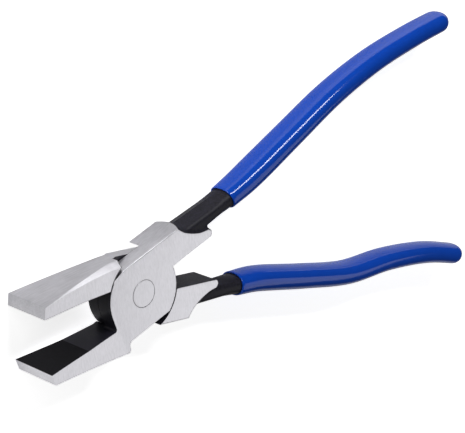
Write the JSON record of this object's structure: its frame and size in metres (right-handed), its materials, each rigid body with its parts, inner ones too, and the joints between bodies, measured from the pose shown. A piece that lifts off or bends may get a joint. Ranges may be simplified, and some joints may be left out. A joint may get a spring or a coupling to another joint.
{
  "type": "glass breaking pliers",
  "caption": "Drop-jaw pliers for breaking out scored glass: flared flat jaws on a flush riveted lap joint, long bowed handles with dipped grips.",
  "frame": {"origin": "centre of the rivet's lower end, which is flush with the lower cheek's flat face", "axes": "+X from the jaws to the handles, +Y towards the drop jaw's handle, +Z along the pivot towards the drop jaw's cheek"},
  "size_m": [0.204, 0.1018, 0.0186],
  "materials": {
    "ground_steel": "belt-ground forged steel",
    "black_oxide": "satin black oxide on forged steel",
    "grip_vinyl": "glossy dipped vinyl"
  },
  "bodies": {
    "drop_half": {"drop_jaw_forging": "ground_steel", "drop_jaw_grip": "grip_vinyl", "pivot_rivet": "ground_steel"},
    "straight_half": {"straight_jaw_forging": "ground_steel", "straight_jaw_grip": "grip_vinyl"}
  },
  "joints": [
    {"name": "jaw_pivot", "type": "hinge", "parent": "drop_half", "child": "straight_half", "pos_m": [0, 0, 0], "axis": [0, 0, -1], "range_deg": [-24.5, 41]}
  ]
}
